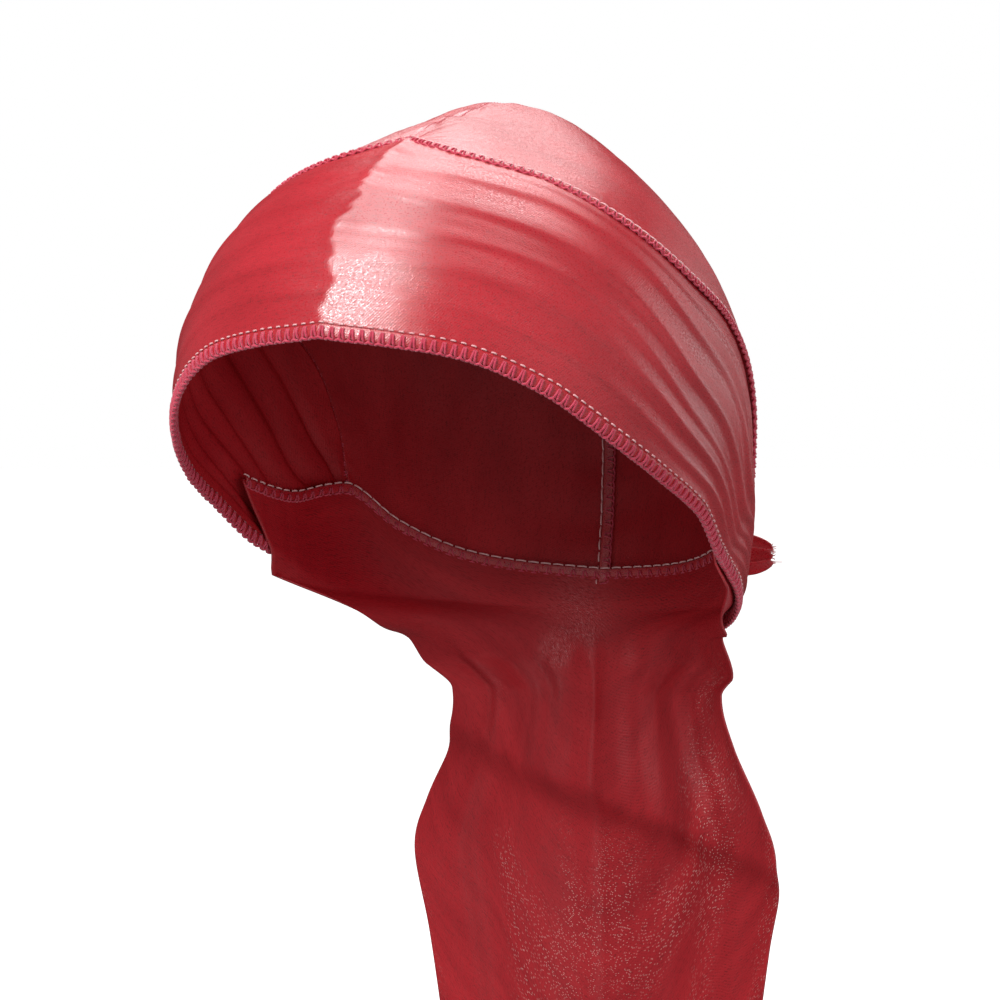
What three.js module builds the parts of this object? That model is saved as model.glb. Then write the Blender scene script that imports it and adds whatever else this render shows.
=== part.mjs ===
// A satin durag in the form it has when it is worn, held up as a head holds it.
// Millimetres. The origin is where the top of the head bears on the inside of the crown.
// +Z is up, the forehead faces -Y, and the wearer's left is +X.
//
// The cloth lies on one smooth head form. A point of the form is named by two angles:
// drop, down from straight up, and turn, round from the forehead towards the wearer's left.
// A wide band runs over the forehead and narrows behind each ear into a tie. The two ties meet in a
// knot at the nape. Two crown panels meet on the centre line, and the back flap hangs below them.
import * as THREE from "three";

// The head form, to the outside of the cloth.
const HALF_WIDTH = 84.5;
const FRONT_REACH = 91.5;
const BACK_REACH = 105;
const CROWN_RISE = 98;
const NAPE_REACH = 150;

// Cloth, clearances and sewn edges.
const CLOTH = 1.2;
const GAP = 0.4;
const FOLD_DEPTH = 1.5;
const CREASE_HEIGHT = 0.8;
const RIM_WIDTH = 4.2;
const RIM_HEIGHT = 2.6;
const SEAM_WIDTH = 2.6;
const SEAM_HEIGHT = 2.2;

// The knot stands off the crown, and its two short free ends wave a little.
const KNOT_WIDTH = 30;
const KNOT_HEIGHT = 27;
const KNOT_DEPTH = 17;
const KNOT_STAND = 1.2;
const END_LENGTH = 40;
const END_WIDTH = 13;
const END_THICKNESS = 2.6;
const END_WAVE = 2;

// The back flap, which laps up inside the nape, with its gathers and the slanting fold across it.
const FLAP_LENGTH = 151;
const NAPE_LAP = 4;
const PLEAT_DEPTH = 3.2;
const SLANT_DEPTH = 4;

const COLOURS = { satin: 0xc8323f, serging: 0xd9405c };

const radians = THREE.MathUtils.degToRad;
const degrees = THREE.MathUtils.radToDeg;
const mix = THREE.MathUtils.lerp;
const clamp = THREE.MathUtils.clamp;

// How full the form is against a plain ellipsoid, by drop angle, at its front, sides and back.
const FULLNESS = [
  { drop: 0, front: 0.955, side: 0.955, back: 0.955 },
  { drop: 20, front: 0.94, side: 0.935, back: 1.05 },
  { drop: 40, front: 0.98, side: 0.97, back: 0.99 },
  { drop: 60, front: 0.995, side: 1.0, back: 0.965 },
  { drop: 80, front: 0.995, side: 1.005, back: 0.985 },
  { drop: 100, front: 1.0, side: 1.0, back: 1.0 },
  { drop: 120, front: 1.0, side: 1.0, back: 1.01 },
  { drop: 140, front: 1.0, side: 1.0, back: 1.02 },
];

// The ties end beside the knot.
const TIE_END_TURN = 180 - degrees(Math.asin((0.45 * KNOT_WIDTH + GAP) / BACK_REACH));

// The band from the middle of the forehead, at 0, to the knot, at 1. Each station has the
// angles of its lower edge and of its upper edge, how many cloths it stands off the form and is
// thick, and how deep its folds are.
const BAND = [
  { at: 0 / 12, lowTurn: 0, lowDrop: 70, topTurn: 0, topDrop: 20.5, lift: 0, plies: 1, fold: 0.15 },
  { at: 1 / 12, lowTurn: 15, lowDrop: 71.4, topTurn: 19, topDrop: 24.6, lift: 0, plies: 1, fold: 0.2 },
  { at: 2 / 12, lowTurn: 30, lowDrop: 74, topTurn: 38, topDrop: 29.3, lift: 0, plies: 1, fold: 0.25 },
  { at: 3 / 12, lowTurn: 45, lowDrop: 80.3, topTurn: 57, topDrop: 35.2, lift: 0, plies: 1, fold: 0.3 },
  { at: 4 / 12, lowTurn: 60, lowDrop: 89.8, topTurn: 74, topDrop: 45.4, lift: 0, plies: 1, fold: 0.45 },
  { at: 5 / 12, lowTurn: 74, lowDrop: 97.8, topTurn: 92, topDrop: 58.8, lift: 0, plies: 1, fold: 0.65 },
  { at: 6 / 12, lowTurn: 87, lowDrop: 104.2, topTurn: 109, topDrop: 68, lift: 0, plies: 1, fold: 0.85 },
  { at: 7 / 12, lowTurn: 99, lowDrop: 111.5, topTurn: 121, topDrop: 78.5, lift: 0.4, plies: 1.2, fold: 1 },
  { at: 8 / 12, lowTurn: 110, lowDrop: 115.5, topTurn: 127, topDrop: 91, lift: 1.2, plies: 1.6, fold: 1 },
  { at: 9 / 12, lowTurn: 121, lowDrop: 118.5, topTurn: 130, topDrop: 103, lift: 2.6, plies: 2.2, fold: 0.8 },
  { at: 10 / 12, lowTurn: 136, lowDrop: 122, topTurn: 139, topDrop: 109.5, lift: 3.6, plies: 2.8, fold: 0.6 },
  { at: 11 / 12, lowTurn: 153, lowDrop: 123, topTurn: 154, topDrop: 110.5, lift: 3.8, plies: 3, fold: 0.5 },
  {
    at: 1,
    lowTurn: TIE_END_TURN,
    lowDrop: 122,
    topTurn: TIE_END_TURN,
    topDrop: 111.5,
    lift: 3.8,
    plies: 3,
    fold: 0.4,
  },
];
const SEAM_END = 9 / 12;
const CREASE_SPREAD = 0.03;

// The ridges of cloth that run along the band and draw together behind the ear, from its lower edge
// (across 0) to its upper edge (across 1).
const FOLDS = [
  { across: 0.2, height: 0.7, spread: 0.07 },
  { across: 0.38, height: 1, spread: 0.06 },
  { across: 0.56, height: 0.6, spread: 0.08 },
  { across: 0.74, height: 0.9, spread: 0.07 },
  { across: 0.9, height: 0.5, spread: 0.05 },
];

// Where the crown ends and the back flap begins, under the ties and then inside the band.
const NAPE_EDGE = [
  { turn: 88, drop: 101.5 },
  { turn: 100, drop: 106 },
  { turn: 112, drop: 108 },
  { turn: 124, drop: 106 },
  { turn: 130, drop: 106 },
  { turn: 140, drop: 112 },
  { turn: 155, drop: 116.5 },
  { turn: 180, drop: 118 },
];

// The back flap below the nape. Its rows are arcs round the neck: how far down their middle and
// their ends are, as shares of the flap's length, their half width as a share of the form's, their
// back and how far they wrap forward as shares of the form's reach, and the angle that they turn.
const FLAP = [
  { row: 0.1, middle: 0.045, end: -0.04, width: 0.895, back: 0.92, wrap: 0.72, turn: 80 },
  { row: 0.2, middle: 0.09, end: 0.05, width: 0.72, back: 0.91, wrap: 0.39, turn: 56 },
  { row: 0.3, middle: 0.15, end: 0.13, width: 0.56, back: 0.905, wrap: 0.12, turn: 42 },
  { row: 0.4, middle: 0.22, end: 0.21, width: 0.49, back: 0.915, wrap: 0.045, turn: 38 },
  { row: 0.55, middle: 0.33, end: 0.32, width: 0.545, back: 0.935, wrap: 0.04, turn: 38 },
  { row: 0.68, middle: 0.46, end: 0.45, width: 0.65, back: 0.945, wrap: 0.045, turn: 38 },
  { row: 0.78, middle: 0.57, end: 0.56, width: 0.69, back: 0.95, wrap: 0.045, turn: 38 },
  { row: 0.88, middle: 0.75, end: 0.74, width: 0.635, back: 0.95, wrap: 0.04, turn: 38 },
  { row: 1.0, middle: 1.0, end: 1.0, width: 0.6, back: 0.95, wrap: 0.035, turn: 38 },
];
const FLAP_HALF_TURN = 85;
const GATHERS = { start: 0.2, full: 0.35, atHem: 0.35, waves: 2.5 };
const SLANT = { down: 0.43, slope: 0.165, above: 0.2, below: 0.08 };

// The two free ends by side, 1 for the wearer's left: how far above the knot's middle each starts,
// and how far its tip droops.
const TIE_ENDS = {
  1: { rise: 0.33 * KNOT_HEIGHT, droop: 0 },
  [-1]: { rise: -0.3 * KNOT_HEIGHT, droop: 0.7 * END_LENGTH },
};

// Where the crown's front point begins along the seam, where its rows begin to turn into the nape's
// edge, and how far along the seam its serging reaches.
const CROWN_TIP = 0.03;
const NAPE_START = 0.7;
const SEAM_REACH = 0.985;

// A smooth curve through one column of a table.
function along(table, key, column, x) {
  const last = table.length - 1;
  const slope = (i) => {
    const before = table[Math.max(i - 1, 0)];
    const after = table[Math.min(i + 1, last)];
    return (after[column] - before[column]) / (after[key] - before[key]);
  };
  let i = 0;
  while (i < last - 1 && x > table[i + 1][key]) i += 1;
  const step = table[i + 1][key] - table[i][key];
  const t = clamp((x - table[i][key]) / step, 0, 1);
  const rise = table[i + 1][column] - table[i][column];
  const ease = t * t * (3 - 2 * t);
  return (
    table[i][column] +
    rise * ease +
    step * (slope(i) * t * (1 - t) * (1 - t) - slope(i + 1) * t * t * (1 - t))
  );
}

function heading(drop, turn) {
  const d = radians(drop);
  const t = radians(turn);
  return new THREE.Vector3(Math.sin(d) * Math.sin(t), -Math.sin(d) * Math.cos(t), Math.cos(d));
}

// The form's distance from its centre in one direction.
function formRadius(direction) {
  const reach = direction.y < 0 ? FRONT_REACH : BACK_REACH;
  const rise = direction.z > 0 ? CROWN_RISE : NAPE_REACH;
  const ellipsoid =
    1 / Math.hypot(direction.x / HALF_WIDTH, direction.y / reach, direction.z / rise);
  const drop = degrees(Math.acos(clamp(direction.z, -1, 1)));
  const level = Math.hypot(direction.x, direction.y);
  const facing = level > 1e-9 ? -direction.y / level : 1;
  const front = along(FULLNESS, "drop", "front", drop);
  const side = along(FULLNESS, "drop", "side", drop);
  const back = along(FULLNESS, "drop", "back", drop);
  const even = (front + back) / 2;
  return ellipsoid * (side + (even - side) * facing * facing - ((back - front) / 2) * facing);
}

// The inside of the crown, at the top of the head, is at height 0.
const CENTRE_DEPTH = formRadius(new THREE.Vector3(0, 0, 1)) - CLOTH;

function onForm(direction, out) {
  const point = direction.clone().multiplyScalar(formRadius(direction) + out);
  return point.setZ(point.z - CENTRE_DEPTH);
}

// The direction a share of the way from one direction to another, round the form.
function between(from, to, share) {
  const angle = from.angleTo(to);
  if (angle < 1e-6) return from.clone();
  return from
    .clone()
    .multiplyScalar(Math.sin((1 - share) * angle) / Math.sin(angle))
    .addScaledVector(to, Math.sin(share * angle) / Math.sin(angle));
}

// The direction beside an edge on the form, square to it, at a length towards the band's lower side.
function beside(edge, position, length) {
  const step = 1e-3;
  const direction = edge(position);
  const run = edge(Math.min(position + step, 1)).sub(edge(Math.max(position - step, -1)));
  const side = run.cross(direction).normalize();
  return direction.addScaledVector(side, length / formRadius(direction)).normalize();
}

// A closed solid from a grid of outer points and the inner points behind them.
function wallSolid(columns, rows, outer, inner) {
  const points = [];
  for (const side of [outer, inner]) {
    for (let i = 0; i <= columns; i += 1) {
      for (let j = 0; j <= rows; j += 1) points.push(side(i / columns, j / rows));
    }
  }
  const layer = (columns + 1) * (rows + 1);
  const at = (i, j, back) => back * layer + i * (rows + 1) + j;
  const faces = [];
  const quad = (a, b, c, d) => faces.push(a, b, c, a, c, d);
  for (let i = 0; i < columns; i += 1) {
    for (let j = 0; j < rows; j += 1) {
      quad(at(i, j, 0), at(i + 1, j, 0), at(i + 1, j + 1, 0), at(i, j + 1, 0));
      quad(at(i, j, 1), at(i, j + 1, 1), at(i + 1, j + 1, 1), at(i + 1, j, 1));
    }
    quad(at(i, 0, 1), at(i + 1, 0, 1), at(i + 1, 0, 0), at(i, 0, 0));
    quad(at(i, rows, 0), at(i + 1, rows, 0), at(i + 1, rows, 1), at(i, rows, 1));
  }
  for (let j = 0; j < rows; j += 1) {
    quad(at(0, j, 0), at(0, j + 1, 0), at(0, j + 1, 1), at(0, j, 1));
    quad(at(columns, j, 1), at(columns, j + 1, 1), at(columns, j + 1, 0), at(columns, j, 0));
  }
  return geometry(points, faces);
}

// A closed solid through rings of points, with a flat cap at each end.
function ringSolid(rings) {
  const sides = rings[0].length;
  const points = rings.flat();
  const faces = [];
  for (let i = 0; i + 1 < rings.length; i += 1) {
    for (let k = 0; k < sides; k += 1) {
      const next = (k + 1) % sides;
      const [a, b] = [i * sides + k, i * sides + next];
      faces.push(a, b, b + sides, a, b + sides, a + sides);
    }
  }
  const last = (rings.length - 1) * sides;
  for (let k = 1; k + 1 < sides; k += 1) {
    faces.push(0, k + 1, k, last, last + k, last + k + 1);
  }
  return geometry(points, faces);
}

function geometry(points, faces) {
  const made = new THREE.BufferGeometry();
  made.setAttribute(
    "position",
    new THREE.Float32BufferAttribute(points.flatMap((p) => [p.x, p.y, p.z]), 3),
  );
  made.setIndex(volume(points, faces) < 0 ? faces.reverse() : faces);
  made.computeVertexNormals();
  return made;
}

function volume(points, faces) {
  let sum = 0;
  for (let k = 0; k < faces.length; k += 3) {
    const [a, b, c] = [points[faces[k]], points[faces[k + 1]], points[faces[k + 2]]];
    sum += a.dot(b.clone().cross(c));
  }
  return sum / 6;
}

// The band. Position runs from -1 at the wearer's right end to 1 at the left one.
function bandValue(column, position) {
  return along(BAND, "at", column, Math.abs(position));
}

function mirrored(direction, position) {
  return position < 0 ? direction.setX(-direction.x) : direction;
}

function bandEdge(edge, position) {
  const drop = bandValue(`${edge}Drop`, position);
  return mirrored(heading(drop, bandValue(`${edge}Turn`, position)), position);
}

const rimEdge = (position) => bandEdge("low", position);
const topEdge = (position) => bandEdge("top", position);

// The seam joins the band's upper edge to the crown, as far as the ties begin. The band and the
// crown each stop short of its serging.
const SEAM_MARGIN = SEAM_WIDTH / 2 + GAP;
const seamEdge = (position) => topEdge(position * SEAM_END);

// How far the cloth stands out where folds run along the band, with the pressed crease at its middle.
function foldHeight(position, across) {
  let ridge = 0;
  for (const fold of FOLDS) {
    ridge += fold.height * Math.exp(-(((across - fold.across) / fold.spread) ** 2));
  }
  const crease = CREASE_HEIGHT * Math.exp(-((position / CREASE_SPREAD) ** 2));
  return FOLD_DEPTH * bandValue("fold", position) * ridge + crease;
}

function bandDirection(position, across) {
  return between(rimEdge(position), beside(topEdge, position, SEAM_MARGIN), across);
}

function bandPoint(position, across, depth) {
  const lift = bandValue("lift", position) * CLOTH + foldHeight(position, across);
  const wall = bandValue("plies", position) * CLOTH;
  return onForm(bandDirection(position, across), lift - depth * wall);
}

function band() {
  const place = (depth) => (u, v) => bandPoint(2 * u - 1, v, depth);
  return wallSolid(56, 12, place(0), place(1));
}

// A crown panel, from its point at the front of the centre line down to the nape.
function crownDirection(back, across) {
  const front = beside(seamEdge, 0, -SEAM_MARGIN);
  const centreDrop = mix(-degrees(Math.acos(front.z)), NAPE_EDGE.at(-1).drop, back);
  const centre = heading(Math.abs(centreDrop), centreDrop < 0 ? 0 : 180);
  centre.setX(GAP / 2 / formRadius(centre)).normalize();
  const side = beside(seamEdge, mix(CROWN_TIP, 1, back), -SEAM_MARGIN);
  const direction = between(centre, side, across);
  if (back < NAPE_START) return direction;
  const turn = degrees(Math.atan2(direction.x, -direction.y));
  const nape = along(NAPE_EDGE, "turn", "drop", turn);
  const share = ((back - NAPE_START) / (1 - NAPE_START)) ** 2 * (1 - across ** 6);
  return heading(mix(degrees(Math.acos(direction.z)), nape, share), turn);
}

function crown(side) {
  const place = (out) => (u, v) => {
    const point = onForm(crownDirection(u, v), out);
    return point.setX(side * point.x);
  };
  return wallSolid(24, 12, place(0), place(-CLOTH));
}

// A flattened roll of serging along a path on the form.
function serging(steps, frame, width, height) {
  const sides = 6;
  const rings = [];
  for (let i = 0; i <= steps; i += 1) {
    const { centre, across, out } = frame(i / steps);
    const ring = [];
    for (let k = 0; k < sides; k += 1) {
      const angle = (2 * Math.PI * (k + 0.5)) / sides;
      ring.push(
        centre
          .clone()
          .addScaledVector(across, (Math.cos(angle) * width) / 2)
          .addScaledVector(out, (Math.sin(angle) * height) / 2),
      );
    }
    rings.push(ring);
  }
  return ringSolid(rings);
}

function rimSerging() {
  const place = (t) => {
    const position = mix(-1, 1, t);
    const edge = bandPoint(position, 0, 0.5);
    const out = beside(rimEdge, position, GAP + RIM_WIDTH / 2);
    const across = onForm(out, 0).sub(onForm(rimEdge(position), 0)).normalize();
    return { centre: edge.addScaledVector(across, GAP + RIM_WIDTH / 2), across, out };
  };
  return serging(84, place, RIM_WIDTH, RIM_HEIGHT);
}

function seamSerging() {
  const place = (t) => {
    const position = mix(-1, 1, t) * SEAM_REACH;
    const out = seamEdge(position);
    const below = beside(seamEdge, position, SEAM_WIDTH);
    const across = onForm(below, 0).sub(onForm(out, 0)).normalize();
    return { centre: onForm(out, -CLOTH / 2), across, out };
  };
  return serging(64, place, SEAM_WIDTH, SEAM_HEIGHT);
}

// The back flap laps up inside the crown and the band. Across runs from -1 at the wearer's right edge
// to 1 at the left one.
function flapTop(across) {
  const turn = 180 - FLAP_HALF_TURN * Math.abs(across);
  const nape = heading(along(NAPE_EDGE, "turn", "drop", turn), turn);
  const underCrown = CLOTH + GAP;
  const underRim = Math.max(underCrown, CLOTH / 2 + RIM_HEIGHT / 2 + GAP);
  const tuck = mix(underRim, underCrown, THREE.MathUtils.smoothstep(turn, 130, 150));
  const lap = degrees(NAPE_LAP / formRadius(nape));
  const point = onForm(heading(degrees(Math.acos(nape.z)) - lap, turn), -tuck);
  return point.setX(Math.sign(across) * point.x);
}

// How far forward the cloth stands at the gathers below the nape and at the slanting fold.
function flapFold(across, row, down) {
  const gathered = clamp((row - GATHERS.start) / (GATHERS.full - GATHERS.start), 0, 1);
  const wave = (1 - Math.cos(2 * Math.PI * GATHERS.waves * across)) / 2;
  const fromSlant = down - SLANT.down - SLANT.slope * across;
  const spread = fromSlant < 0 ? SLANT.above : SLANT.below;
  return (
    PLEAT_DEPTH * gathered * mix(1, GATHERS.atHem, row) * wave +
    SLANT_DEPTH * Math.exp(-((fromSlant / spread) ** 2))
  );
}

function flapArc(across, row) {
  const value = (column) => along(FLAP, "row", column, row);
  const turn = radians(value("turn"));
  const wrap = (1 - Math.cos(turn * across)) / (1 - Math.cos(turn));
  const down = mix(value("middle"), value("end"), across * across);
  const nape = onForm(heading(NAPE_EDGE.at(-1).drop, 180), 0);
  return new THREE.Vector3(
    (value("width") * HALF_WIDTH * Math.sin(turn * across)) / Math.sin(turn),
    (value("back") - value("wrap") * wrap) * BACK_REACH - flapFold(across, row, down),
    nape.z - FLAP_LENGTH * down,
  );
}

function flapPoint(across, row) {
  const first = FLAP[0].row;
  if (row >= first) return flapArc(across, row);
  return flapTop(across).lerp(flapArc(across, first), row / first);
}

function flap() {
  const step = 1e-3;
  const outer = (u, v) => flapPoint(2 * u - 1, v);
  const inner = (u, v) => {
    const [u0, u1] = [clamp(u - step, 0, 1), clamp(u + step, 0, 1)];
    const [v0, v1] = [clamp(v - step, 0, 1), clamp(v + step, 0, 1)];
    const side = outer(u1, v).sub(outer(u0, v));
    const down = outer(u, v1).sub(outer(u, v0));
    return outer(u, v).addScaledVector(side.cross(down).normalize(), -CLOTH);
  };
  return wallSolid(30, 22, outer, inner);
}

// The knot at the nape, a rounded lump with the shallow waists of the ties that cross in it.
const KNOT_ROUND = 0.7;
const KNOT_WAIST = 0.05;
const KNOT_POLE = 0.47 * Math.PI;

function knotCentre() {
  const last = BAND.at(-1);
  const centre = onForm(heading((last.lowDrop + last.topDrop) / 2, 180), 0);
  return centre.setY(centre.y + GAP + KNOT_STAND + KNOT_DEPTH / 2);
}

// How far the knot reaches to the side at a height from its middle.
function knotReach(height) {
  const power = 2 / KNOT_ROUND;
  const level = 1 - Math.min(Math.abs((2 * height) / KNOT_HEIGHT), 1) ** power;
  return (KNOT_WIDTH / 2) * (1 + KNOT_WAIST) * level ** (1 / power);
}

function knot() {
  const [turns, rows] = [20, 14];
  const rounded = (value) => Math.sign(value) * Math.abs(value) ** KNOT_ROUND;
  const centre = knotCentre();
  const rings = [];
  for (let j = 0; j <= rows; j += 1) {
    const level = mix(-KNOT_POLE, KNOT_POLE, j / rows);
    const ring = [];
    for (let k = 0; k < turns; k += 1) {
      const angle = (2 * Math.PI * k) / turns;
      const girth = rounded(Math.cos(level)) * (1 + KNOT_WAIST * Math.cos(4 * angle + 3 * level));
      const point = new THREE.Vector3(
        (KNOT_WIDTH / 2) * girth * rounded(Math.cos(angle)),
        (KNOT_DEPTH / 2) * girth * rounded(Math.sin(angle)),
        (KNOT_HEIGHT / 2) * rounded(Math.sin(level)),
      );
      ring.push(point.add(centre));
    }
    rings.push(ring);
  }
  return ringSolid(rings);
}

// A tie's short free end, from the knot out to a rounded point. The left one stands out level and
// the right one hangs down.
function tieEnd(side) {
  const [steps, sides] = [14, 8];
  const centre = knotCentre();
  const { rise, droop } = TIE_ENDS[side];
  const half = (t) => (END_WIDTH / 2) * Math.sin(Math.PI * mix(0.2, 0.92, t));
  const start = knotReach(Math.abs(rise) - half(0)) + GAP;
  const rings = [];
  for (let i = 0; i <= steps; i += 1) {
    const t = i / steps;
    const ring = [];
    for (let k = 0; k < sides; k += 1) {
      const angle = (2 * Math.PI * (k + 0.5)) / sides;
      const point = new THREE.Vector3(
        side * (start + END_LENGTH * t),
        (END_THICKNESS / 2) * Math.sin(angle) + END_WAVE * Math.sin(5 * t),
        half(t) * Math.cos(angle) + rise - droop * t * t,
      );
      ring.push(point.add(centre));
    }
    rings.push(ring);
  }
  return ringSolid(rings);
}

const durag = new THREE.Group();

function add(name, shape, colour, roughness) {
  const finish = new THREE.MeshStandardMaterial({ color: COLOURS[colour], roughness, metalness: 0 });
  const mesh = new THREE.Mesh(shape, finish);
  mesh.name = name;
  durag.add(mesh);
}

add("forehead_band", band(), "satin", 0.35);
add("crown_panel_left", crown(1), "satin", 0.35);
add("crown_panel_right", crown(-1), "satin", 0.35);
add("rim_serging", rimSerging(), "serging", 0.6);
add("crown_seam_serging", seamSerging(), "serging", 0.6);
add("back_flap", flap(), "satin", 0.45);
add("tie_knot", knot(), "satin", 0.4);
add("tie_end_left", tieEnd(1), "satin", 0.4);
add("tie_end_right", tieEnd(-1), "satin", 0.4);

export default durag;
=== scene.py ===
import math

import bpy
import numpy as np
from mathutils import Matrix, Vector


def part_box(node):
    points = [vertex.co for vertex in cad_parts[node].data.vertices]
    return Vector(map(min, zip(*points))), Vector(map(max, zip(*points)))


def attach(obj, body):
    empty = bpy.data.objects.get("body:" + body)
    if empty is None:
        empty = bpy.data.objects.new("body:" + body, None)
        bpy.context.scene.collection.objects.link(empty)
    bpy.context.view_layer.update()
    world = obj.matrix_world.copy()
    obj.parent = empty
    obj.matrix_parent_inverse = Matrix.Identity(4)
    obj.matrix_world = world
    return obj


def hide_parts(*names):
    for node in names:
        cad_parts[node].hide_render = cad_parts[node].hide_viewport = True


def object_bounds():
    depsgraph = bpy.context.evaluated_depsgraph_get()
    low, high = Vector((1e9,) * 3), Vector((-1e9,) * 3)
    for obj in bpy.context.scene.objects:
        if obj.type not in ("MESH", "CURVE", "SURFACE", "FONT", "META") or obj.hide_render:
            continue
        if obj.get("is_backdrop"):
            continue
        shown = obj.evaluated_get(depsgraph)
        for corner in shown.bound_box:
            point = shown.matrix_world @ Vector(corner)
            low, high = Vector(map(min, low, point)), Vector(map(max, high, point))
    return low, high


# A coral-red satin durag, tied as worn. Lengths are in millimetres, and meshes are made in metres.
# +Z is up, the forehead faces -Y, and the wearer's left is +X.

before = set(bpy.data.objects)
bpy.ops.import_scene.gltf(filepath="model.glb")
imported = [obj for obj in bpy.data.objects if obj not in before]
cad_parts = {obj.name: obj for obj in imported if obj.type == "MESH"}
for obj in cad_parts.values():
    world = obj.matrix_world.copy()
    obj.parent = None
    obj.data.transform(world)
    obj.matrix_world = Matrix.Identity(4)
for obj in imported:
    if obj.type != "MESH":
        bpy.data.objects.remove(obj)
CAD_BOX = [list(corner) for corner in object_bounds()]
MM = 0.001

# The head form, to the outside of the cloth, and the cloth's sizes.
HALF_WIDTH = 84.5
FRONT_REACH = 91.5
BACK_REACH = 105.0
CROWN_RISE = 98.0
NAPE_REACH = 150.0
WALL = 1.2
SATIN = 0.7
RIM_WIDTH = 4.0
RIM_HEIGHT = 1.9
SEAM_WIDTH = 2.4
SEAM_HEIGHT = 1.6
KNOT_WIDTH = 30.0
FLAP_LENGTH = 151.0

# How full the form is against a plain ellipsoid: drop angle, front, side, back.
FULLNESS = np.array([
    (0, 0.955, 0.955, 0.955),
    (20, 0.94, 0.935, 1.05),
    (40, 0.98, 0.97, 0.99),
    (60, 0.995, 1.0, 0.965),
    (80, 0.995, 1.005, 0.985),
    (100, 1.0, 1.0, 1.0),
    (120, 1.0, 1.0, 1.01),
    (140, 1.0, 1.0, 1.02),
])

# The band from mid forehead to the knot: place, the lower edge's turn and drop, the upper edge's
# turn and drop, how many walls it stands off the form, how many it is thick, and its folds' depth.
BAND = np.array([
    (0 / 12, 0, 70, 0, 20.5, 0, 1, 0.15),
    (1 / 12, 15, 71.4, 19, 24.6, 0, 1, 0.2),
    (2 / 12, 30, 74, 38, 29.3, 0, 1, 0.25),
    (3 / 12, 45, 80.3, 57, 35.2, 0, 1, 0.32),
    (4 / 12, 60, 89.8, 74, 45.4, 0, 1, 0.55),
    (5 / 12, 74, 97.8, 92, 58.8, 0, 1, 0.8),
    (6 / 12, 87, 104.2, 109, 68, 0, 1, 0.9),
    (7 / 12, 99, 111.5, 121, 78.5, 0, 1.2, 1),
    (8 / 12, 110, 115.5, 127, 91, 0.2, 1.6, 1),
    (9 / 12, 121, 118.5, 130, 103, 1.2, 2.2, 0.8),
    (10 / 12, 136, 122, 139, 109.5, 2.0, 2.8, 0.6),
    (11 / 12, 153, 122.6, 154, 110.8, 2.6, 3, 0.5),
    (1, 173, 119.8, 173, 113.8, 3.2, 3, 0.4),
])
LOW_TURN, LOW_DROP, TOP_TURN, TOP_DROP, LIFT, PLIES, FOLD = range(1, 8)
SEAM_END = 9 / 12

# Folds that run along the band. They draw together at the gather behind the ear and open again as
# pleats of the tie: the place, then how far across the band each fold is there.
FOLD_LINES = np.array([
    (0, 0.12, 0.26, 0.42, 0.58, 0.74, 0.88),
    (0.3, 0.14, 0.3, 0.45, 0.62, 0.82, 0.93),
    (0.42, 0.09, 0.2, 0.32, 0.47, 0.71, 0.87),
    (0.54, 0.07, 0.14, 0.24, 0.38, 0.59, 0.8),
    (0.64, 0.04, 0.1, 0.19, 0.31, 0.5, 0.74),
    (0.75, 0.12, 0.26, 0.4, 0.55, 0.7, 0.85),
    (1, 0.14, 0.28, 0.42, 0.57, 0.72, 0.86),
])
# How tall each fold is, and how far it spreads across the band.
FOLD_HEIGHTS = (0.8, 1.0, 0.75, 1.0, 0.85, 0.6)
FOLD_SPREADS = (0.04, 0.05, 0.045, 0.06, 0.07, 0.05)
FOLD_DEPTH = 2.8
FOLD_MEAN = 0.42

# Where the crown ends at the nape: turn, drop.
NAPE_EDGE = np.array([
    (88, 101.5),
    (100, 106),
    (112, 108),
    (124, 106),
    (130, 106),
    (140, 112),
    (155, 116.5),
    (180, 118),
])

# The back flap's rows: row, how far down its middle and its ends are, half width, back, wrap
# (shares of the flap's length and of the form's reaches) and the angle that the row turns.
FLAP = np.array([
    (0.1, 0.045, -0.04, 0.925, 0.92, 0.7, 80),
    (0.2, 0.09, 0.05, 0.73, 0.91, 0.38, 56),
    (0.3, 0.15, 0.13, 0.71, 0.905, 0.12, 42),
    (0.35, 0.185, 0.17, 0.62, 0.91, 0.07, 40),
    (0.4, 0.22, 0.21, 0.55, 0.915, 0.045, 38),
    (0.55, 0.33, 0.32, 0.59, 0.935, 0.04, 38),
    (0.68, 0.46, 0.45, 0.71, 0.945, 0.045, 38),
    (0.78, 0.57, 0.56, 0.77, 0.95, 0.045, 38),
    (0.88, 0.75, 0.74, 0.71, 0.95, 0.04, 38),
    (1.0, 1.0, 1.0, 0.64, 0.95, 0.035, 38),
])
FLAP_HALF_TURN = 85
NAPE_LAP = 4.0


def curve(table, column, x):
    """A smooth curve through one column of a table, against its first column."""
    xs, ys = table[:, 0], table[:, column]
    slope = np.empty_like(ys)
    slope[1:-1] = (ys[2:] - ys[:-2]) / (xs[2:] - xs[:-2])
    slope[0] = (ys[1] - ys[0]) / (xs[1] - xs[0])
    slope[-1] = (ys[-1] - ys[-2]) / (xs[-1] - xs[-2])
    x = np.asarray(x, float)
    i = np.clip(np.searchsorted(xs, x) - 1, 0, len(xs) - 2)
    step = xs[i + 1] - xs[i]
    t = np.clip((x - xs[i]) / step, 0, 1)
    ease = t * t * (3 - 2 * t)
    bend = slope[i] * t * (1 - t) ** 2 - slope[i + 1] * t * t * (1 - t)
    return ys[i] + (ys[i + 1] - ys[i]) * ease + step * bend


def unit(v):
    return v / np.maximum(np.linalg.norm(v, axis=-1, keepdims=True), 1e-12)


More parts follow.
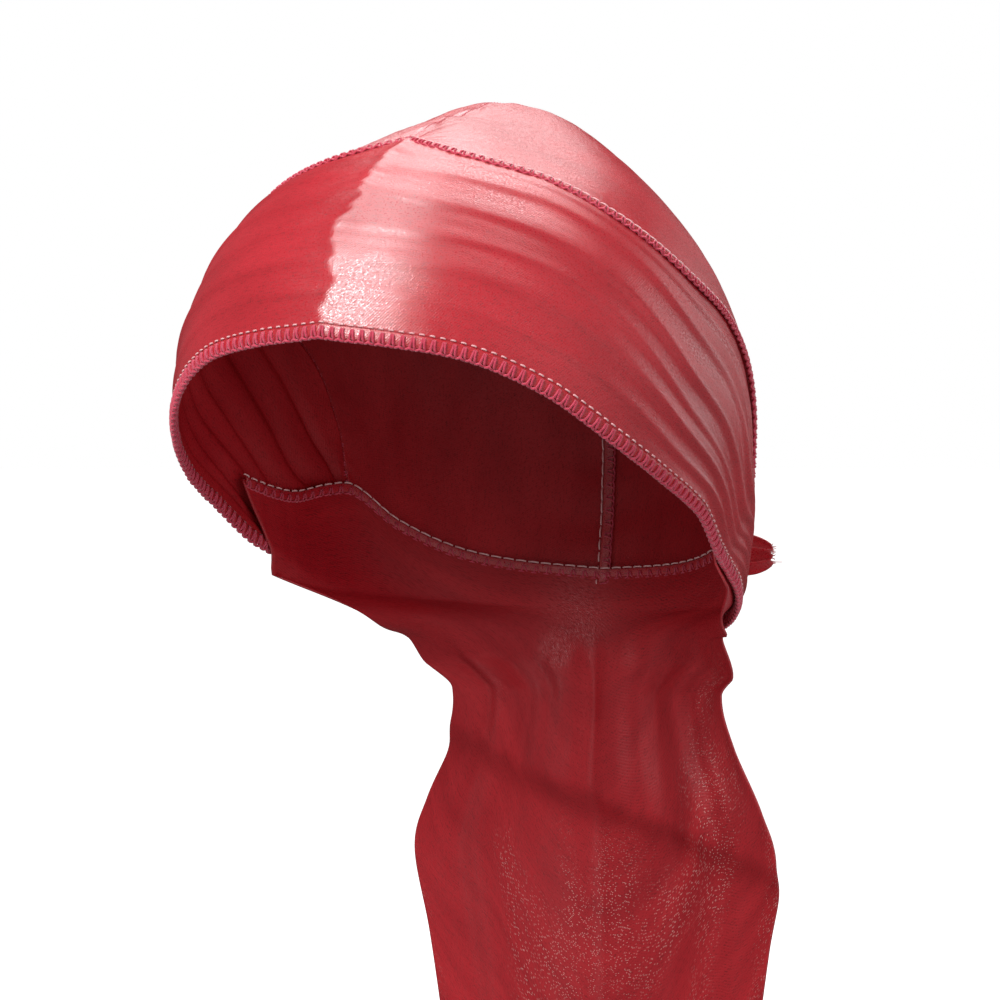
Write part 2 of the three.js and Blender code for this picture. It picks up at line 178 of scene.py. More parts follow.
def heading(drop, turn):
    """The direction at a drop from straight up and a turn round from the forehead."""
    d, t = np.radians(drop), np.radians(turn)
    d, t = np.broadcast_arrays(d, t)
    return np.stack([np.sin(d) * np.sin(t), -np.sin(d) * np.cos(t), np.cos(d)], -1)


def form_radius(direction):
    x, y, z = np.moveaxis(direction, -1, 0)
    reach = np.where(y < 0, FRONT_REACH, BACK_REACH)
    rise = np.where(z > 0, CROWN_RISE, NAPE_REACH)
    plain = 1 / np.sqrt((x / HALF_WIDTH) ** 2 + (y / reach) ** 2 + (z / rise) ** 2)
    drop = np.degrees(np.arccos(np.clip(z, -1, 1)))
    facing = -y / np.maximum(np.hypot(x, y), 1e-9)
    front, side, back = (curve(FULLNESS, k, drop) for k in (1, 2, 3))
    even = (front + back) / 2
    return plain * (side + (even - side) * facing**2 - (back - front) / 2 * facing)


CENTRE_DEPTH = float(form_radius(np.array([[0.0, 1e-6, 1.0]]))[0]) - WALL


def on_form(direction, out=0.0):
    point = direction * (form_radius(direction) + out)[..., None]
    point[..., 2] -= CENTRE_DEPTH
    return point


def between(a, b, share):
    """The direction a share of the way from a to b, round the form."""
    angle = np.arccos(np.clip((a * b).sum(-1, keepdims=True), -1, 1))
    angle = np.maximum(angle, 1e-6)
    share = np.asarray(share)[..., None]
    return (np.sin((1 - share) * angle) * a + np.sin(share * angle) * b) / np.sin(angle)


def beside(edge, place, length):
    """The direction beside an edge of the form, square to it, a length towards the band's lower side."""
    step = 1e-3
    direction = edge(place)
    run = edge(np.minimum(place + step, 1)) - edge(np.maximum(place - step, -1))
    side = unit(np.cross(run, direction))
    return unit(direction + side * (length / form_radius(direction))[..., None])


# Smooth noise, the same on each run.
LATTICE = np.random.default_rng(7).random((64, 64, 8))


def noise(x, y, layer=0):
    """Smooth values from -1 to 1 on a grid of unit cells."""
    x, y = np.broadcast_arrays(np.asarray(x, float), np.asarray(y, float))
    i, j = np.floor(x).astype(int), np.floor(y).astype(int)
    u, v = x - i, y - j
    u, v = u * u * (3 - 2 * u), v * v * (3 - 2 * v)
    grid = LATTICE[..., layer]
    corner = lambda a, b: grid[(i + a) % 64, (j + b) % 64]
    low = corner(0, 0) * (1 - u) + corner(1, 0) * u
    high = corner(0, 1) * (1 - u) + corner(1, 1) * u
    return 2 * (low * (1 - v) + high * v) - 1


def streaks(x, y, layer=0):
    return 0.6 * noise(x, y, layer) + 0.3 * noise(2.1 * x, 2.3 * y, layer + 1) + 0.15 * noise(
        3.9 * x, 4.7 * y, layer + 2
    )


def smoothstep(x, low, high):
    t = np.clip((x - low) / (high - low), 0, 1)
    return t * t * (3 - 2 * t)


# Materials.
def nodes_of(name):
    material = bpy.data.materials.new(name)
    material.use_nodes = True
    tree = material.node_tree
    shader = tree.nodes["Principled BSDF"]
    return material, tree, shader


def node(tree, kind, **values):
    made = tree.nodes.new(kind)
    for key, value in values.items():
        if hasattr(made, key):
            setattr(made, key, value)
        else:
            made.inputs[key.replace("_", " ")].default_value = value
    return made


def scaled_uv(tree, scale, turn=0.0):
    """The cloth's own coordinates, in metres, times a scale along and across the thread, and turned."""
    uv = node(tree, "ShaderNodeUVMap", uv_map="cloth")
    mapping = node(tree, "ShaderNodeMapping")
    mapping.inputs["Scale"].default_value = (*scale, 1)
    mapping.inputs["Rotation"].default_value = (0, 0, turn)
    tree.links.new(uv.outputs["UV"], mapping.inputs["Vector"])
    return mapping.outputs["Vector"]


def noise_node(tree, scale, detail=2.0, roughness=0.5):
    made = node(tree, "ShaderNodeTexNoise", noise_dimensions="2D")
    made.inputs["Scale"].default_value = 1
    made.inputs["Detail"].default_value = detail
    made.inputs["Roughness"].default_value = roughness
    tree.links.new(scaled_uv(tree, scale), made.inputs["Vector"])
    return made.outputs["Fac"]


def twill_node(tree):
    """Fine slanting lines of the weave, about 0.6 mm apart."""
    made = node(tree, "ShaderNodeTexWave", Scale=1, Distortion=1.2, Detail=1)
    tree.links.new(scaled_uv(tree, (520, 520), 0.65), made.inputs["Vector"])
    return made.outputs["Fac"]


def ramp(tree, factor, stops):
    made = node(tree, "ShaderNodeValToRGB")
    elements = made.color_ramp.elements
    for element, (place, colour) in zip(elements, stops):
        element.position, element.color = place, (*colour, 1)
    for place, colour in stops[2:]:
        elements.new(place).color = (*colour, 1)
    tree.links.new(factor, made.inputs["Fac"])
    return made.outputs["Color"]


def mix_colour(tree, factor, a, b, blend="MIX"):
    made = node(tree, "ShaderNodeMix", data_type="RGBA", blend_type=blend)
    for socket, value in (("Factor", factor), ("A", a), ("B", b)):
        target = next(s for s in made.inputs if s.name == socket and s.enabled)
        if hasattr(value, "links"):
            tree.links.new(value, target)
        elif socket == "Factor":
            target.default_value = value
        else:
            target.default_value = (*value, 1)
    return next(s for s in made.outputs if s.enabled)


def add(tree, a, b, weight):
    made = node(tree, "ShaderNodeMath", operation="MULTIPLY_ADD")
    tree.links.new(b, made.inputs[0])
    made.inputs[1].default_value = weight
    tree.links.new(a, made.inputs[2])
    return made.outputs[0]


LIGHT_SPECKS_START, LIGHT_SPECKS_FULL = 0.075, 0.105


def painted_light_specks(tree, colour, pale):
    """Painted light: pale specks in slanting rows where light shows through the open weave, in loose
    patches low down.
    """
    black, white = (0,) * 3, (1,) * 3
    cells = node(tree, "ShaderNodeTexVoronoi", voronoi_dimensions="2D", Scale=1, Randomness=0.55)
    tree.links.new(scaled_uv(tree, (1150, 1900), 0.5), cells.inputs["Vector"])
    light_dots = ramp(tree, cells.outputs["Distance"], ((0.1, white), (0.2, black)))
    some = ramp(tree, cells.outputs["Color"], ((0.6, black), (0.63, white)))
    patch = ramp(tree, noise_node(tree, (46, 12), 3, 0.65), ((0.5, black), (0.68, white)))
    down = node(tree, "ShaderNodeSeparateXYZ")
    tree.links.new(scaled_uv(tree, (1, 1)), down.inputs["Vector"])
    low = ramp(tree, down.outputs["Y"], ((LIGHT_SPECKS_START, black), (LIGHT_SPECKS_FULL, white)))
    shown = light_dots
    for mask in (some, patch, low):
        shown = mix_colour(tree, 1.0, shown, mask, "MULTIPLY")
    return mix_colour(tree, shown, colour, pale)


def satin(name, deep, light, roughness, gloss, anisotropy, ior=1.5, pale=None):
    """Satin: long floats of thread along the cloth, crossed by a fine weave that glitters."""
    material, tree, shader = nodes_of(name)
    floats = noise_node(tree, (300, 2000), 3, 0.6)
    glitter = noise_node(tree, (1200, 1500), 2, 0.75)
    twill = twill_node(tree)
    cloud = noise_node(tree, (22, 60), 3, 0.55)
    tone = ramp(tree, cloud, ((0.3, deep), (0.72, light)))
    weave = add(tree, add(tree, floats, glitter, 1.0), twill, 0.25)
    thread_tone = ramp(tree, weave, ((0.85, (0.62,) * 3), (1.35, (1.0,) * 3)))
    colour = mix_colour(tree, 1.0, tone, thread_tone, "MULTIPLY")
    # Painted light: pale specks where light shows through the weave are mixed into the colour.
    if pale:
        colour = painted_light_specks(tree, colour, pale)
    tree.links.new(colour, shader.inputs["Base Color"])
    rough, smooth = min(roughness + 0.17, 1), roughness - 0.17
    gloss_ramp = ramp(tree, glitter, ((0.33, (rough,) * 3), (0.67, (smooth,) * 3)))
    tree.links.new(gloss_ramp, shader.inputs["Roughness"])
    shader.inputs["IOR"].default_value = ior
    shader.inputs["Specular IOR Level"].default_value = gloss
    shader.inputs["Anisotropic"].default_value = anisotropy
    shader.inputs["Anisotropic Rotation"].default_value = 0.25
    tangent = node(tree, "ShaderNodeTangent", direction_type="UV_MAP", uv_map="cloth")
    tree.links.new(tangent.outputs["Tangent"], shader.inputs["Tangent"])
    bump = node(tree, "ShaderNodeBump")
    bump.inputs["Strength"].default_value = 0.6
    bump.inputs["Distance"].default_value = 0.00012
    height = add(tree, add(tree, glitter, floats, 0.7), twill, 0.3)
    tree.links.new(height, bump.inputs["Height"])
    tree.links.new(bump.outputs["Normal"], shader.inputs["Normal"])
    return material


def thread(name, colour, pale):
    """Spun overlock thread: soft, with fine twisted plies."""
    material, tree, shader = nodes_of(name)
    plies = noise_node(tree, (900, 5200), 2, 0.6)
    tree.links.new(ramp(tree, plies, ((0.3, colour), (0.75, pale))), shader.inputs["Base Color"])
    shader.inputs["Roughness"].default_value = 0.62
    shader.inputs["Specular IOR Level"].default_value = 0.35
    shader.inputs["Sheen Weight"].default_value = 0.4
    shader.inputs["Sheen Roughness"].default_value = 0.5
    bump = node(tree, "ShaderNodeBump")
    bump.inputs["Strength"].default_value = 0.5
    bump.inputs["Distance"].default_value = 0.0001
    tree.links.new(plies, bump.inputs["Height"])
    tree.links.new(bump.outputs["Normal"], shader.inputs["Normal"])
    return material


# One satin cloth in three copies. The back has less gloss than the face, which is real. Its darker colour,
# and the flap's back that is darker still, is painted shade for cloth inside the cap and under the head.
# The flap's back also carries painted light specks.
FACE = satin("satin_face", (0.5, 0.011, 0.022), (0.6, 0.018, 0.032), 0.4, 1.0, 0.85, 1.75)
BACK = satin("satin_back", (0.42, 0.008, 0.015), (0.52, 0.016, 0.024), 0.52, 0.4, 0.4)
TAIL = satin(
    "satin_tail_painted_shade_and_light", (0.38, 0.007, 0.014), (0.5, 0.014, 0.022), 0.5, 0.5, 0.4, pale=(0.95, 0.68, 0.62)
)
SERGING = thread("serging_thread", (0.5, 0.02, 0.06), (0.75, 0.09, 0.15))
# The needle thread's pale pink colour is painted highlight on the stitches.
NEEDLE = thread("needle_thread_painted_highlight", (0.85, 0.4, 0.42), (0.95, 0.7, 0.68))


# Meshes.
def mesh_object(name, points, faces, uv, materials, slots):
    mesh = bpy.data.meshes.new(name)
    mesh.from_pydata((points * MM).tolist(), [], faces.tolist())
    for material in materials:
        mesh.materials.append(material)
    mesh.polygons.foreach_set("material_index", slots.astype(np.int32))
    mesh.polygons.foreach_set("use_smooth", np.ones(len(faces), bool))
    layer = mesh.uv_layers.new(name="cloth")
    layer.data.foreach_set("uv", (uv[faces.reshape(-1)] * MM).astype(np.float32).reshape(-1))
    mesh.validate()
    mesh.update()
    made = bpy.data.objects.new(name, mesh)
    bpy.context.scene.collection.objects.link(made)
    return made


def place(piece, slot, *nodes):
    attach(piece, "root")
    if nodes:
        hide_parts(*nodes)
    return piece


def grid_normals(points):
    along = np.gradient(points, axis=0)
    across = np.gradient(points, axis=1)
    return unit(np.cross(along, across))


def grid_uv(points):
    """Lengths over the cloth from its middle, along the first axis and the second."""
    steps = np.linalg.norm(np.diff(points, axis=0), axis=-1)
    middle = points.shape[1] // 2
    u = np.concatenate([[0], np.cumsum(steps[:, middle])])
    rise = np.linalg.norm(np.diff(points, axis=1), axis=-1)
    v = np.concatenate([np.zeros((len(points), 1)), np.cumsum(rise, axis=1)], axis=1)
    return np.stack([np.broadcast_to(u[:, None], v.shape), v], -1)


def cloth(name, outer, out_hint, thickness=SATIN, back=None):
    """A closed sheet: a grid of outer points, an inner face behind it and edges between them."""
    columns, rows = outer.shape[:2]
    normals = grid_normals(outer)
    if (normals * out_hint).sum() < 0:
        normals = -normals
        outer = outer[:, ::-1]
        normals = normals[:, ::-1]
    inner = outer - normals * thickness
    index = np.arange(columns * rows).reshape(columns, rows)
    quads = np.stack([index[:-1, :-1], index[1:, :-1], index[1:, 1:], index[:-1, 1:]], -1).reshape(-1, 4)
    loop = np.concatenate([index[:, 0], index[-1, 1:], index[-2::-1, -1], index[0, -2:0:-1]])
    following = np.roll(loop, -1)
    count = columns * rows
    edge = np.stack([following, loop, loop + count, following + count], -1)
    faces = np.concatenate([quads, quads[:, ::-1] + count, edge])
    slots = np.concatenate([np.zeros(len(quads)), np.ones(len(quads)), np.zeros(len(edge))])
    points = np.concatenate([outer.reshape(-1, 3), inner.reshape(-1, 3)])
    uv = grid_uv(outer).reshape(-1, 2)
    return mesh_object(name, points, faces, np.concatenate([uv, uv]), (FACE, back or BACK), slots)


def tubes(name, paths, out, radius, material, sides=6, closed=False):
    """Round threads along equal paths: paths is (count, steps, 3), out a direction away from the cloth."""
    count, steps = paths.shape[:2]
    run = np.gradient(paths, axis=1)
    run = unit(run)
    side = unit(np.cross(run, out))
    up = np.cross(side, run)
    angle = 2 * np.pi * np.arange(sides) / sides
    radius = np.broadcast_to(np.asarray(radius, float), (count, steps))
    ring = (
        paths[:, :, None]
        + radius[:, :, None, None] * np.cos(angle)[:, None] * side[:, :, None]
        + radius[:, :, None, None] * np.sin(angle)[:, None] * up[:, :, None]
    )
    points = ring.reshape(-1, 3)
    index = np.arange(count * steps * sides).reshape(count, steps, sides)
    turned = np.roll(index, -1, axis=2)
    faces = np.stack([index[:, :-1], turned[:, :-1], turned[:, 1:], index[:, 1:]], -1).reshape(-1, 4)
    length = np.concatenate(
        [np.zeros((count, 1)), np.cumsum(np.linalg.norm(np.diff(paths, axis=1), axis=-1), axis=1)], axis=1
    )
    uv = np.stack(np.broadcast_arrays(length[..., None], radius[..., None] * angle), -1).reshape(-1, 2)
    made = mesh_object(name, points, faces, uv, (material,), np.zeros(len(faces)))
    close_ends(made.data, count, steps, sides)
    return made


def close_ends(mesh, count, steps, sides):
    """A flat cap on both ends of each thread."""
    import bmesh

    work = bmesh.new()
    work.from_mesh(mesh)
    work.verts.ensure_lookup_table()
    for k in range(count):
        first = k * steps * sides
        last = first + (steps - 1) * sides
        work.faces.new([work.verts[first + i] for i in reversed(range(sides))])
        work.faces.new([work.verts[last + i] for i in range(sides)])
    bmesh.ops.recalc_face_normals(work, faces=work.faces)
    for face in work.faces:
        face.smooth = True
    work.to_mesh(mesh)
    work.free()


def joined(name, pieces):
    """The pieces as one object."""
    with bpy.context.temp_override(
        active_object=pieces[0], selected_editable_objects=pieces, object=pieces[0]
    ):
        bpy.ops.object.join()
    pieces[0].name = name
    return pieces[0]


# The band.
def band_value(column, place):
    return curve(BAND, column, np.abs(place))


def band_edge(turn, drop):
    def edge(place):
        direction = heading(band_value(drop, place), band_value(turn, place))
        direction[..., 0] *= np.where(np.asarray(place) < 0, -1, 1)
        return direction

    return edge


rim_edge = band_edge(LOW_TURN, LOW_DROP)
top_edge = band_edge(TOP_TURN, TOP_DROP)


def seam_edge(place):
    return top_edge(np.asarray(place) * SEAM_END)


CREASE_HEIGHT = 1.0
CREASE_REACH = 7.0
BAND_HALF_RUN = 270.0
BAND_FRONT_HEIGHT = 84.0
GATHER_PLACE = 0.64
GATHER_PULL = 1.6


def crossings(across, place):
    """Folds across the band at each place, each with a soft upper and a steeper lower side."""
    total = -FOLD_MEAN + np.zeros(np.broadcast(across, place).shape)
    run = place * BAND_HALF_RUN
    for k, (tall, spread) in enumerate(zip(FOLD_HEIGHTS, FOLD_SPREADS)):
        where = curve(FOLD_LINES, k + 1, np.abs(place)) + 0.012 * noise(run / 30 + 9 * k, k + 0.5, 1)
        spread_here = spread * (1 + 0.25 * noise(run / 40 + 5 * k, k + 3.5, 2))
        from_fold = (across - where) / spread_here
        side = np.where(from_fold < 0, 0.38, 1.25)
        fade = 0.85 + 0.4 * noise(run / 35 + 3 * k, k + 7.5, 3)
        total = total + tall * fade * np.exp(-((from_fold / side) ** 2))
    return total


def band_relief(place, across):
    """How far the band's cloth stands out in folds, wrinkles and the centre crease, in millimetres."""
    run = place * BAND_HALF_RUN
    height = across * BAND_FRONT_HEIGHT
    depth = FOLD_DEPTH * band_value(FOLD, place)
    near_front = np.exp(-((run / 60) ** 2))
    wrinkle = 0.24 * streaks(run / 62 + height / 140, height / 9, 4)
    drag = 0.26 * near_front * streaks(run / 30 + 3.3, height / 6.5, 1)
    drag += 0.09 * near_front * streaks(run / 14 + 1.7, height / 2.6, 3)
    drag += 0.42 * np.exp(-(((run + 15) / 17) ** 2)) * streaks(run / 26 + 6.1, height / 5.2, 2)
    fingers = 2.4 * noise(height / 10, 0.5, 5) + 2.6 * noise(height / 3.6, 4.5, 5)
    fingers += 2.0 * noise(height / 1.5, 8.5, 5)
    crease = CREASE_HEIGHT * np.exp(-np.abs(run - fingers) / CREASE_REACH)
    seam = np.exp(-(1 - across) * BAND_FRONT_HEIGHT / 5) * 0.28 * noise(run / 4.2, 1.5, 6)
    rim = np.exp(-across * BAND_FRONT_HEIGHT / 4) * 0.2 * noise(run / 4.6, 9.5, 6)
    gather = np.exp(-(((np.abs(place) - GATHER_PLACE) / 0.11) ** 2 + (across / 0.4) ** 2))
    return depth * crossings(across, place) + wrinkle + drag + crease + seam + rim - GATHER_PULL * gather


def band_point(place, across, out=0.0):
    place, across = np.broadcast_arrays(place, across)
    direction = between(rim_edge(place), beside(top_edge, place, 0.2), across)
    lift = band_value(LIFT, place) * WALL
    return on_form(direction, lift + band_relief(place, across) + out)


BAND_COLUMNS, BAND_ROWS = 420, 96


def make_band():
    place_at = np.linspace(-1, 1, BAND_COLUMNS)[:, None]
    across = np.linspace(0, 1, BAND_ROWS)[None, :]
    points = band_point(place_at, across)
    centre = np.array([0, 0, -CENTRE_DEPTH])
    made = cloth("band_and_ties", points, unit(points - centre))
    return place(made, "satin", "forehead_band")


# The crown.
NAPE_START = 0.7
CROWN_TIP = 0.03


def crown_direction(back, across):
    front = beside(seam_edge, np.zeros(1), -0.2)[0]
    low = np.degrees(np.arccos(front[2]))
    centre_drop = -low * (1 - back) + NAPE_EDGE[-1, 1] * back
    centre = heading(np.abs(centre_drop), np.where(centre_drop < 0, 0.0, 180.0))
    side = beside(seam_edge, CROWN_TIP * (1 - back) + back, -0.2)
    direction = between(centre, side, across)
    turn = np.degrees(np.arctan2(direction[..., 0], -direction[..., 1]))
    drop = np.degrees(np.arccos(np.clip(direction[..., 2], -1, 1)))
    nape = curve(NAPE_EDGE, 1, turn)
    share = np.clip((back - NAPE_START) / (1 - NAPE_START), 0, 1) ** 2 * (1 - across**6)
    bent = heading(drop * (1 - share) + nape * share, turn)
    return np.where((share > 0)[..., None], bent, direction)


CROWN_RUN = 230.0
CROWN_HALF = 105.0


def crown_relief(back, across, side):
    run = back * CROWN_RUN
    width = across * CROWN_HALF
    apart = 1 - np.exp(-width / 4)
    pucker = 0.4 * np.cos(2 * np.pi * run / 13.4 + 0.9 * side * apart) + 0.2 * noise(run / 7, 4.5, 2)
    pucker = pucker * np.exp(-width / 13) * smoothstep(back, 0.0, 0.06) * (0.3 + 0.7 * apart)
    groove = -0.6 * np.exp(-((width / 1.4) ** 2))
    seam = np.exp(-(1 - across) * CROWN_HALF / 6) * 0.35 * noise(run / 4.4, side + 8.5, 3)
    drag = 0.26 * apart * streaks(run / 45, width / 11 + 5 * side, 1)
    return pucker + groove + seam + drag


def make_crown(name, side):
    back = np.linspace(0, 1, 170)[:, None]
    across = np.linspace(0, 1, 84)[None, :]
    back, across = np.broadcast_arrays(back, across)
    points = on_form(crown_direction(back, across), crown_relief(back, across, side))
    points[..., 0] *= side
    made = cloth(name, points, unit(points - np.array([0, 0, -CENTRE_DEPTH])))
    return place(made, "satin", "crown_panel_left" if side > 0 else "crown_panel_right")


# Sewn edges.
def even_places(point_at, low, high, pitch):
    """Places along a line of points at an even pitch."""
    fine = np.linspace(low, high, 2000)
    run = np.concatenate([[0], np.cumsum(np.linalg.norm(np.diff(point_at(fine), axis=0), axis=-1))])
    count = int(run[-1] / pitch)
    return np.interp((np.arange(count) + 0.5) * run[-1] / count, run, fine)


def overlock(name, frame_at, places, width, height, thread_radius, wrap):
    """Overlock stitches round an edge: bars that lean from the needle line round the edge and back,
    a looped bead along it and a dashed needle line."""
    centre, across, out = frame_at(places)
    run = unit(np.gradient(centre, axis=0))
    pitch = float(np.linalg.norm(np.diff(centre, axis=0), axis=-1).mean())
    steps = 13
    turn = np.radians(np.linspace(wrap, -wrap, steps))
    lean = pitch * 0.42 * np.where(np.arange(len(places)) % 2, 1.0, -1.0)[:, None]
    slide = lean * np.linspace(-1, 1, steps)[None, :] * 0.9
    jitter = 1 + 0.05 * noise(np.arange(len(places)) * 0.7, 3.5, 2)[:, None, None]
    paths = (
        centre[:, None]
        + across[:, None] * (np.cos(turn)[:, None] * (width / 2) * jitter)
        + out[:, None] * (np.sin(turn)[:, None] * (height / 2 + thread_radius * 0.6))
        + run[:, None] * slide[..., None]
    )
    section = unit(paths - centre[:, None])
    bars = tubes(name + "_bars", paths, section, thread_radius, SERGING)

    weave = np.arange(len(places) * 4)
    fine = np.interp(weave / 4, np.arange(len(places)), places)
    c, a, o = frame_at(fine)
    phase = np.pi * weave / 4
    bead = (
        c
        + a * (width / 2 + thread_radius * (0.5 + 0.7 * np.abs(np.sin(phase))))[:, None]
        + o * (thread_radius * 1.1 * np.cos(phase))[:, None]
    )
    beads = tubes(name + "_bead", bead[None], o[None], thread_radius * 1.05, SERGING)

    dash_steps = 5
    every = places[::2]
    half = 0.34 * (places[1] - places[0]) * 2
    spots = every[:, None] + np.linspace(-half, half, dash_steps)[None, :]
    c, a, o = (v.reshape(*spots.shape, 3) for v in frame_at(np.clip(spots.reshape(-1), -1, 1)))
    sink = 0.35 * np.abs(np.linspace(-1, 1, dash_steps)) ** 3
    dash = c - a * (width / 2 + 0.1) + o * (height / 2 + 0.05 - sink)[:, None]
    # The dashed needle line's pale thread colour is painted highlight.
    needle = tubes(name + "_needle", dash, o, 0.26, NEEDLE)
    return [bars, beads, needle]


def roll(name, centre, across, out, width, height):
    """The folded cloth edge under the stitches."""
    sides = 10
    angle = 2 * np.pi * np.arange(sides) / sides
    ring = (
        centre[:, None]
        + across[:, None] * (np.cos(angle)[:, None] * width / 2)
        + out[:, None] * (np.sin(angle)[:, None] * height / 2)
    )
    index = np.arange(len(centre) * sides).reshape(-1, sides)
    turned = np.roll(index, -1, axis=1)
    faces = np.stack([index[:-1], turned[:-1], turned[1:], index[1:]], -1).reshape(-1, 4)
    run = np.concatenate([[0], np.cumsum(np.linalg.norm(np.diff(centre, axis=0), axis=-1))])
    uv = np.stack(np.broadcast_arrays(run[:, None], angle * width / 2), -1).reshape(-1, 2)
    made = mesh_object(name, ring.reshape(-1, 3), faces, uv, (FACE,), np.zeros(len(faces)))
    close_ends(made.data, 1, len(centre), sides)
    return made


def rim_frame(places):
    base = band_point(places, np.zeros_like(places), -SATIN / 2)
    lower = beside(rim_edge, places, RIM_WIDTH / 2)
    across = unit(on_form(lower) - on_form(rim_edge(places)))
    return base + across * (RIM_WIDTH / 2 - 0.3), across, lower


def make_rim():
    places = even_places(lambda t: on_form(rim_edge(t)), -0.995, 0.995, 1.5)
    centre, across, out = rim_frame(places)
    pieces = [roll("rim_roll", centre, across, out, RIM_WIDTH, RIM_HEIGHT - 0.5)]
    pieces += overlock("rim", rim_frame, places, RIM_WIDTH, RIM_HEIGHT - 0.5, 0.42, 118)
    return place(joined("rim_overlock", pieces), "serging", "rim_serging")


def seam_frame(places):
    out = seam_edge(places)
    below = on_form(beside(seam_edge, places, 0.5))
    above = on_form(beside(seam_edge, places, -0.5))
    return on_form(out, 0.1 + 0 * places), unit(below - above), out


def make_seam():
    places = even_places(lambda t: on_form(seam_edge(t)), -0.985, 0.985, 1.5)
    centre, across, out = seam_frame(places)
    pieces = [roll("seam_roll", centre, across, out, SEAM_WIDTH - 0.4, SEAM_HEIGHT - 0.6)]
    pieces += overlock("seam", seam_frame, places, SEAM_WIDTH - 0.4, SEAM_HEIGHT - 0.6, 0.3, 170)
    return place(joined("crown_seam_overlock", pieces), "serging", "crown_seam_serging")


STITCH_ASIDE = 1.7


def make_centre_stitches():
    """The row of short stitches beside the crown's centre seam."""
    count, steps = 128, 5
    back = np.linspace(0.02, 0.985, count)[:, None] + np.linspace(-0.0018, 0.0018, steps)[None, :]
    across = np.full_like(back, STITCH_ASIDE / CROWN_HALF)
    direction = crown_direction(back, across)
    dip = 0.3 * np.abs(np.linspace(-1, 1, steps)) ** 3
    points = on_form(direction, crown_relief(back, across, 1) + 0.08 - dip)
    return place(tubes("centre_seam_stitches", points, direction, 0.2, SERGING), "serging")


def centre_frame(places):
    """The seam allowance inside the crown's centre seam."""
    across = np.zeros_like(places)
    direction = crown_direction(places, across)
    inside = on_form(direction, crown_relief(places, across, 1) - SATIN - 0.5)
    side = np.broadcast_to(np.array([1.0, 0.0, 0.0]), inside.shape)
    return inside, side, -direction


def nape_frame(places):
    """The overlocked edge where the flap is sewn inside the crown."""
    top = inside_band(flap_top(places))
    lower = inside_band(flap_top(places) - np.array([0, 0, 1.0]))
    inward = -unit(top + np.array([0, 0, CENTRE_DEPTH]))
    return top + inward * (SATIN + 0.1), unit(lower - top), inward


def make_inner_seams():
    """The overlocked seam allowances that show inside the crown."""
    places = even_places(lambda t: centre_frame(t)[0], 0.01, 0.985, 2.0)
    pieces = overlock("centre_allowance", centre_frame, places, 3.6, 0.9, 0.26, 100)
    centre, across, out = centre_frame(places)
    pieces.append(roll("centre_allowance_roll", centre, across, out, 3.4, 0.7))
    places = even_places(lambda t: nape_frame(t)[0], -0.995, 0.995, 2.0)
    pieces += overlock("nape_allowance", nape_frame, places, 3.0, 0.9, 0.26, 100)
    centre, across, out = nape_frame(places)
    pieces.append(roll("nape_allowance_roll", centre, across, out, 2.8, 0.7))
    return place(joined("inner_seam_allowances", pieces), "serging")


# The back flap.
GATHER_START, GATHER_FULL, GATHER_AT_HEM = 0.16, 0.34, 0.3
GATHERS = ((2.5, 1.0, 0.0), (4.3, 0.5, 0.9), (7.1, 0.16, 2.0))
PLEAT_DEPTH = 3.6
SLANT_DEPTH = 5.5
SLANT = (0.415, 0.14, 0.2, 0.05)


def flap_fold(across, row, down):
    """How far forward the flap's cloth stands, at its gathers and its slanting fold."""
    gathered = smoothstep(row, GATHER_START, GATHER_FULL)
    fade = 1 + (GATHER_AT_HEM - 1) * smoothstep(row, 0.35, 1.0)
    wave = 0.0
    for count, size, phase in GATHERS:
        wander = 0.12 * noise(row * 5 + count, count, 3)
        wave = wave + size * (1 - np.cos(2 * np.pi * count * (across + wander * 0.3) + phase)) / 2
    where, slope, above, below = SLANT
    from_slant = down - where - slope * across - 0.012 * noise(across * 5, 2.5, 4)
    spread = np.where(from_slant < 0, above, below)
    slant = SLANT_DEPTH * np.exp(-((from_slant / spread) ** 2))
    ripple = 0.5 * streaks(across * 4, row * 3, 5) * smoothstep(row, 0.2, 0.4)
    return PLEAT_DEPTH * gathered * fade * wave * 0.6 + slant + ripple


def flap_top(across):
    turn = 180 - FLAP_HALF_TURN * np.abs(across)
    nape = heading(curve(NAPE_EDGE, 1, turn), turn)
    under_crown = SATIN + 0.6
    under_rim = WALL / 2 + RIM_HEIGHT / 2 + 0.8
    tuck = under_rim + (under_crown - under_rim) * smoothstep(turn, 130, 150)
    lap = np.degrees(NAPE_LAP / form_radius(nape))
    direction = heading(np.degrees(np.arccos(nape[..., 2])) - lap, turn)
    point = on_form(direction, -tuck)
    point[..., 0] *= np.sign(across)
    return point


NAPE_HEIGHT = float(on_form(heading(np.array([NAPE_EDGE[-1, 1]]), np.array([180.0])))[0, 2])


def flap_arc(across, row):
    middle, end, width, back, wrap, turn = (curve(FLAP, k, row) for k in range(1, 7))
    turn = np.radians(turn)
    around = (1 - np.cos(turn * across)) / (1 - np.cos(turn))
    down = middle + (end - middle) * across**2
    x = width * HALF_WIDTH * np.sin(turn * across) / np.sin(turn)
    y = (back - wrap * around) * BACK_REACH - flap_fold(across, row, down)
    return np.stack([x, y, NAPE_HEIGHT - FLAP_LENGTH * down], -1)


FLAP_ROOM = 2.0
RIM_CLEAR = 2.5
RELEASE = 3.5


def on_the_form(points):
    """Where points lie on the form: direction, turn, drop and how far they stand off it."""
    from_centre = points + np.array([0, 0, CENTRE_DEPTH])
    distance = np.linalg.norm(from_centre, axis=-1)
    direction = from_centre / distance[..., None]
    turn = np.degrees(np.arctan2(np.abs(direction[..., 0]), -direction[..., 1]))
    drop = np.degrees(np.arccos(direction[..., 2]))
    return direction, turn, drop, distance - form_radius(direction)


